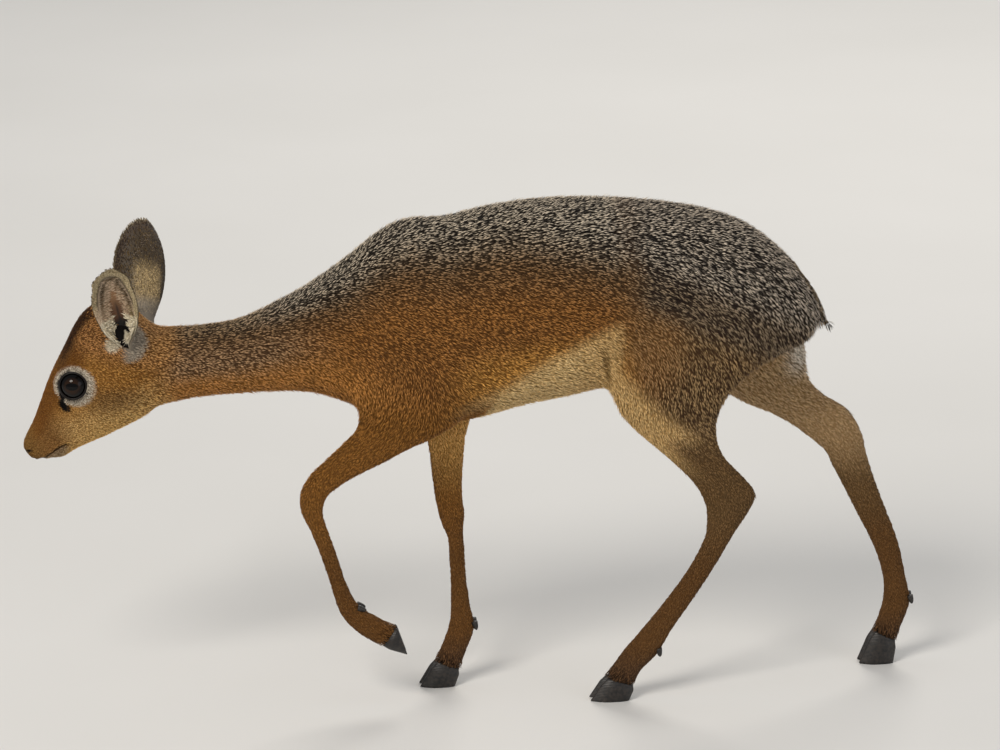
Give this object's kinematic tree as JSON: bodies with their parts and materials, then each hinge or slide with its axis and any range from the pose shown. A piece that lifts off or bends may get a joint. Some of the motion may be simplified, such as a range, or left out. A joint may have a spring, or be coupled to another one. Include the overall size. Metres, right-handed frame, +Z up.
{
  "type": "dik-dik animal model",
  "caption": "Life-size still model of a walking female dik-dik, a dwarf antelope, with her head held low and one forefoot lifted.",
  "frame": {"origin": "on the floor, under the middle of the model's bounding box", "axes": "-X is the way she walks, -Y is her left side, +Z is up, and the soles of three feet lie at z = 0"},
  "size_m": [0.7089, 0.1344, 0.4002],
  "materials": {
    "short_coat": "short ticked fur, matt",
    "horn": "black hoof horn, satin",
    "eye": "wet dark eye, glossy",
    "ear": "thin skin with short hair, matt"
  },
  "bodies": {
    "root": {"head": "short_coat", "neck": "short_coat", "torso": "short_coat", "tail": "short_coat", "fore_left_forearm": "short_coat", "fore_left_cannon": "short_coat", "fore_left_pastern": "short_coat", "fore_left_claw_outer": "horn", "fore_left_claw_inner": "horn", "fore_right_forearm": "short_coat", "fore_right_cannon": "short_coat", "fore_right_pastern": "short_coat", "fore_right_claw_outer": "horn", "fore_right_claw_inner": "horn", "hind_left_shank": "short_coat", "hind_left_cannon": "short_coat", "hind_left_pastern": "short_coat", "hind_left_claw_outer": "horn", "hind_left_claw_inner": "horn", "hind_right_shank": "short_coat", "hind_right_cannon": "short_coat", "hind_right_pastern": "short_coat", "hind_right_claw_outer": "horn", "hind_right_claw_inner": "horn", "ear_left": "ear", "eye_left": "eye", "ear_right": "ear", "eye_right": "eye"}
  },
  "joints": []
}
